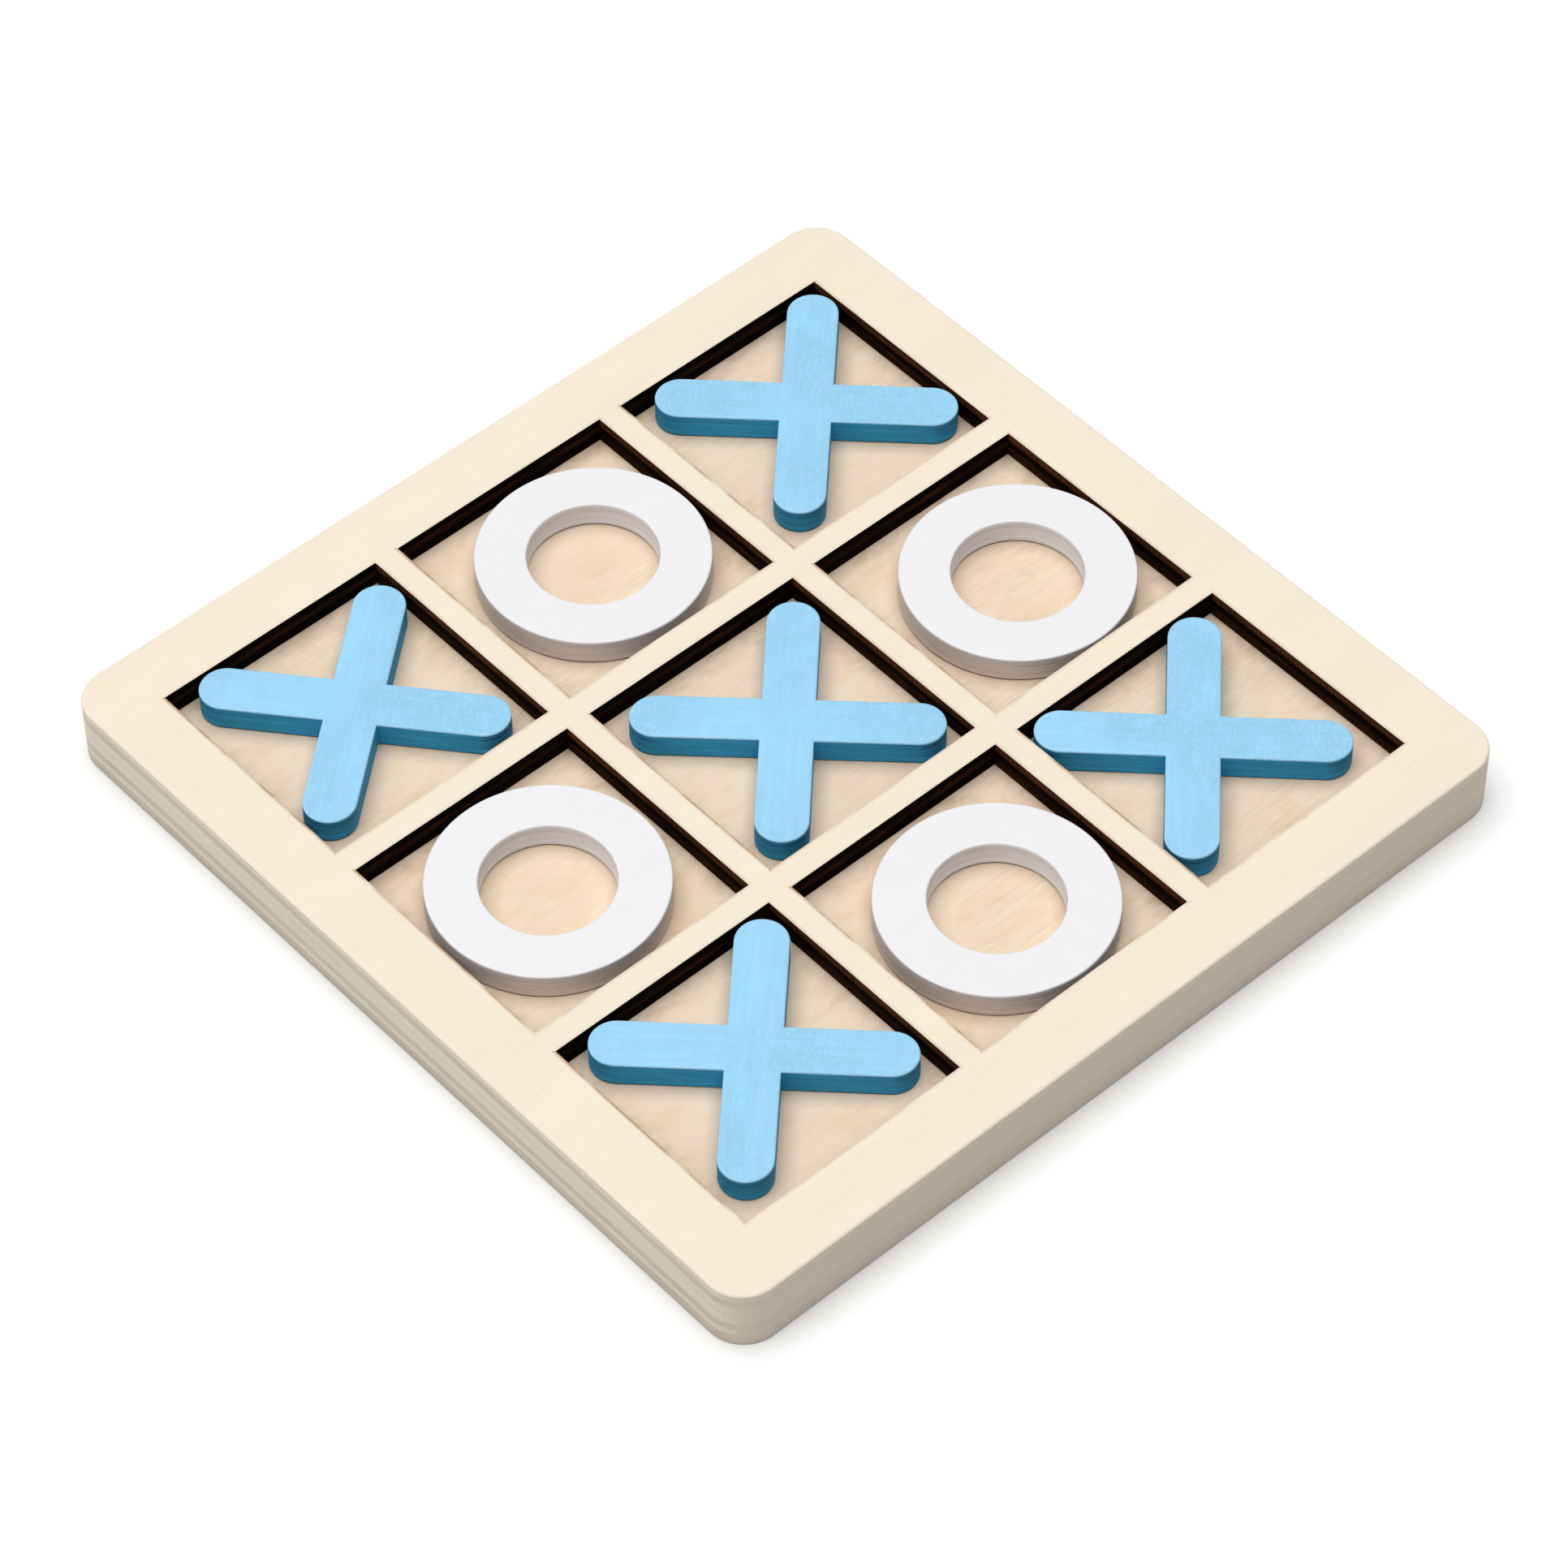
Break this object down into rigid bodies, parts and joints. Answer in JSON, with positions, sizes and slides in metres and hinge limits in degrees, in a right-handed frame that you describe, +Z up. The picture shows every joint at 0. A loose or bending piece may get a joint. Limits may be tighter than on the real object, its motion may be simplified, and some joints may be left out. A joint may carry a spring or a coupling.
{
  "type": "tic tac toe set",
  "caption": "Square plywood tic tac toe board with square pockets in rows, blue painted crosses and white painted rings lying loose in them.",
  "frame": {"origin": "centre of the board's underside", "axes": "+Z up out of the pockets, +X to the right and +Y to the back along the board's square sides; -Y is the front"},
  "size_m": [0.145, 0.145, 0.011],
  "materials": {
    "birch_plywood": "bare sanded birch plywood, laser-charred inside the windows",
    "blue_painted_wood": "thin matt light blue paint on plywood",
    "white_painted_wood": "matt white paint on plywood"
  },
  "bodies": {
    "board": {"base_board": "birch_plywood", "frame_grid": "birch_plywood"},
    "cross_front_left": {"cross_front_left": "blue_painted_wood"},
    "cross_front_right": {"cross_front_right": "blue_painted_wood"},
    "cross_center": {"cross_center": "blue_painted_wood"},
    "cross_back_left": {"cross_back_left": "blue_painted_wood"},
    "cross_back_right": {"cross_back_right": "blue_painted_wood"},
    "ring_front": {"ring_front": "white_painted_wood"},
    "ring_left": {"ring_left": "white_painted_wood"},
    "ring_right": {"ring_right": "white_painted_wood"},
    "ring_back": {"ring_back": "white_painted_wood"}
  },
  "joints": [
    {"name": "cross_front_left_lift", "type": "slide", "parent": "board", "child": "cross_front_left", "axis": [0, 0, 1], "range_m": [0, 0.03]},
    {"name": "cross_front_right_lift", "type": "slide", "parent": "board", "child": "cross_front_right", "axis": [0, 0, 1], "range_m": [0, 0.03]},
    {"name": "cross_center_lift", "type": "slide", "parent": "board", "child": "cross_center", "axis": [0, 0, 1], "range_m": [0, 0.03]},
    {"name": "cross_back_left_lift", "type": "slide", "parent": "board", "child": "cross_back_left", "axis": [0, 0, 1], "range_m": [0, 0.03]},
    {"name": "cross_back_right_lift", "type": "slide", "parent": "board", "child": "cross_back_right", "axis": [0, 0, 1], "range_m": [0, 0.03]},
    {"name": "ring_front_lift", "type": "slide", "parent": "board", "child": "ring_front", "axis": [0, 0, 1], "range_m": [0, 0.03]},
    {"name": "ring_left_lift", "type": "slide", "parent": "board", "child": "ring_left", "axis": [0, 0, 1], "range_m": [0, 0.03]},
    {"name": "ring_right_lift", "type": "slide", "parent": "board", "child": "ring_right", "axis": [0, 0, 1], "range_m": [0, 0.03]},
    {"name": "ring_back_lift", "type": "slide", "parent": "board", "child": "ring_back", "axis": [0, 0, 1], "range_m": [0, 0.03]}
  ]
}
